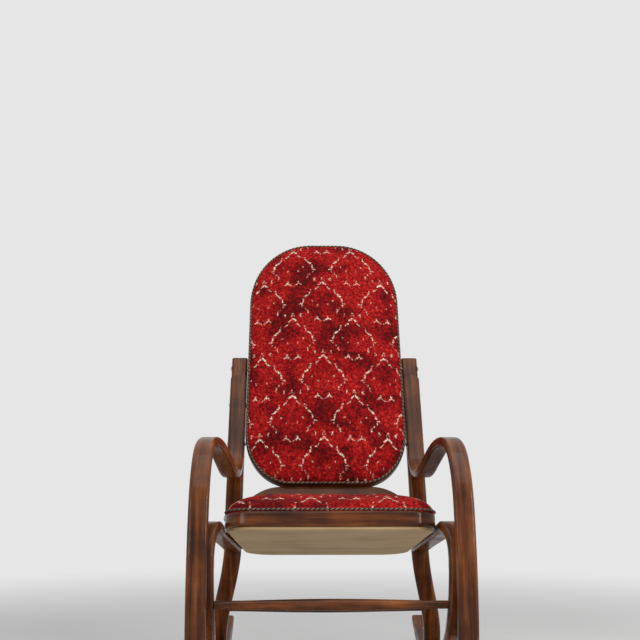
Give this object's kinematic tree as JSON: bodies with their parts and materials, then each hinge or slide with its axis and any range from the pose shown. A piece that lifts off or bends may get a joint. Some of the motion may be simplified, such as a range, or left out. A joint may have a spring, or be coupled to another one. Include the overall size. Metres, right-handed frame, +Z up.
{
  "type": "rocking chair",
  "caption": "Bentwood rocking chair: curled side frames on runners carry a tall upholstered back and a padded seat on wooden hoops.",
  "frame": {"origin": "bottom centre of the chair's bounding box, at floor level under the runners", "axes": "+X to the right as seen from the front, which is the sitter's left, +Y to the rear, +Z up; the front faces -Y"},
  "size_m": [0.57, 0.8842, 1.1386],
  "materials": {
    "wood": "stained and varnished beech, glossy",
    "board": "bare thin board",
    "velvet": "cut velvet, red with a cream lattice",
    "stuffing": "stuffing under the cover",
    "gimp": "twisted gimp braid, bronze and gold",
    "lining": "plain woven backing cloth",
    "steel": "plated steel"
  },
  "bodies": {
    "root": {"arch_bolts": "steel", "arm_screws": "steel", "back_arch": "wood", "back_board": "board", "back_bolts": "steel", "back_cover": "velvet", "back_padding": "stuffing", "back_rear_cover": "lining", "back_rear_trim": "gimp", "back_ring": "wood", "back_trim": "gimp", "back_washers": "steel", "foot_stretcher": "wood", "front_stretcher": "wood", "knee_bolts": "steel", "knee_washers": "steel", "left_arm": "wood", "left_post": "wood", "left_runner": "wood", "left_scroll_leg": "wood", "left_seat_rail": "wood", "post_foot_screws": "steel", "rear_stretcher": "wood", "right_arm": "wood", "right_post": "wood", "right_runner": "wood", "right_scroll_leg": "wood", "right_seat_rail": "wood", "scroll_leg_screws": "steel", "seat_board": "board", "seat_cover": "velvet", "seat_padding": "stuffing", "seat_rail_screws": "steel", "seat_rear_bolts": "steel", "seat_rear_spacers": "wood", "seat_ring": "wood", "seat_trim": "gimp"}
  },
  "joints": []
}
